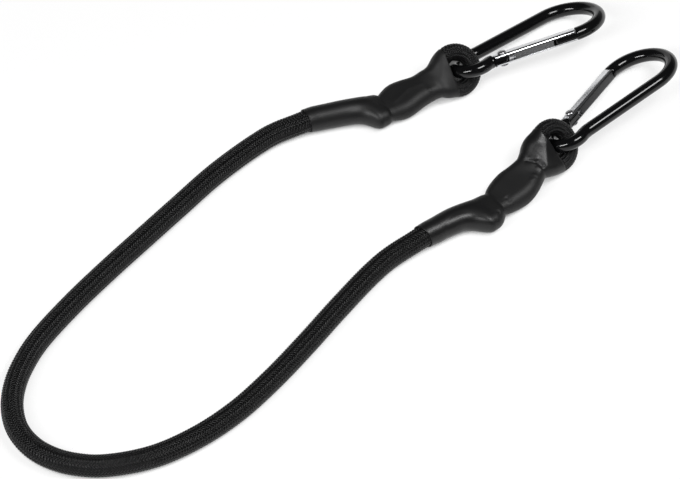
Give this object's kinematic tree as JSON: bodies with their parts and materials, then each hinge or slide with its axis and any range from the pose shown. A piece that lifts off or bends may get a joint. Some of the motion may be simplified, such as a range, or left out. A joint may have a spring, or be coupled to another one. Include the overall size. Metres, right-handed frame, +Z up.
{
  "type": "bungee cord",
  "caption": "Elastic braided cord with each end folded into an eye under a shrunk sleeve and held in a snap carabiner with a sprung gate, for tying down loads.",
  "frame": {"origin": "under the middle of the box round both ends' fittings, on the surface that the cord lies on", "axes": "+Z up from that surface, +X to the right and +Y away from the viewer of the picture"},
  "size_m": [0.297, 0.2711, 0.0209],
  "materials": {
    "braid": "black braided polyester sheath",
    "rubber": "bundle of natural rubber strands",
    "sleeve": "black heat-shrink tube, satin",
    "black_rod": "glossy black anodised",
    "bright_gate": "bright polished",
    "steel": "plain steel"
  },
  "bodies": {
    "cord": {"cord_sheath": "braid", "rubber_core": "rubber", "near_eye_sheath": "braid", "near_eye_core": "rubber", "near_shrink_sleeve": "sleeve", "near_tail_band": "steel", "near_eye_band": "steel", "far_eye_sheath": "braid", "far_eye_core": "rubber", "far_shrink_sleeve": "sleeve", "far_tail_band": "steel", "far_eye_band": "steel"},
    "near_carabiner": {"near_carabiner_body": "black_rod"},
    "near_gate": {"near_gate": "bright_gate", "near_hinge_rivet": "steel", "near_gate_spring": "steel"},
    "near_plunger": {"near_gate_plunger": "steel"},
    "far_carabiner": {"far_carabiner_body": "black_rod"},
    "far_gate": {"far_gate": "bright_gate", "far_hinge_rivet": "steel", "far_gate_spring": "steel"},
    "far_plunger": {"far_gate_plunger": "steel"}
  },
  "joints": [
    {"name": "near_carabiner_swing", "type": "hinge", "parent": "cord", "child": "near_carabiner", "pos_m": [0.03374, -0.01328, 0.01052], "axis": [0.5238, -0.475, -0.7071], "range_deg": [-25, 25]},
    {"name": "near_gate_hinge", "type": "hinge", "parent": "near_carabiner", "child": "near_gate", "pos_m": [0.03677, 0.00064, 0.00673], "axis": [0.3473, -0.3159, -0.8829], "range_deg": [0, 25], "stiffness_Nm_per_rad": 0.2, "springref_deg": -20.05},
    {"name": "near_plunger_slide", "type": "slide", "parent": "near_gate", "child": "near_plunger", "axis": [0.5215, 0.8476, -0.0981], "range_m": [0, 0.0005], "deforming": ["near_gate_spring"]},
    {"name": "far_carabiner_swing", "type": "hinge", "parent": "cord", "child": "far_carabiner", "pos_m": [-0.00781, 0.02997, 0.01052], "axis": [0.3536, -0.6124, -0.7071], "range_deg": [-25, 25]},
    {"name": "far_gate_hinge", "type": "hinge", "parent": "far_carabiner", "child": "far_gate", "pos_m": [0.00644, 0.02999, 0.01429], "axis": [-0.2341, 0.4069, 0.8829], "range_deg": [0, 25], "stiffness_Nm_per_rad": 0.2, "springref_deg": -20.05},
    {"name": "far_plunger_slide", "type": "slide", "parent": "far_gate", "child": "far_plunger", "axis": [0.9388, 0.3307, 0.0965], "range_m": [0, 0.0005], "deforming": ["far_gate_spring"]}
  ],
  "couplings": [
    {"joint": "near_plunger_slide", "follows": "near_gate_hinge", "m_per_rad": 0.001},
    {"joint": "far_plunger_slide", "follows": "far_gate_hinge", "m_per_rad": 0.001}
  ]
}
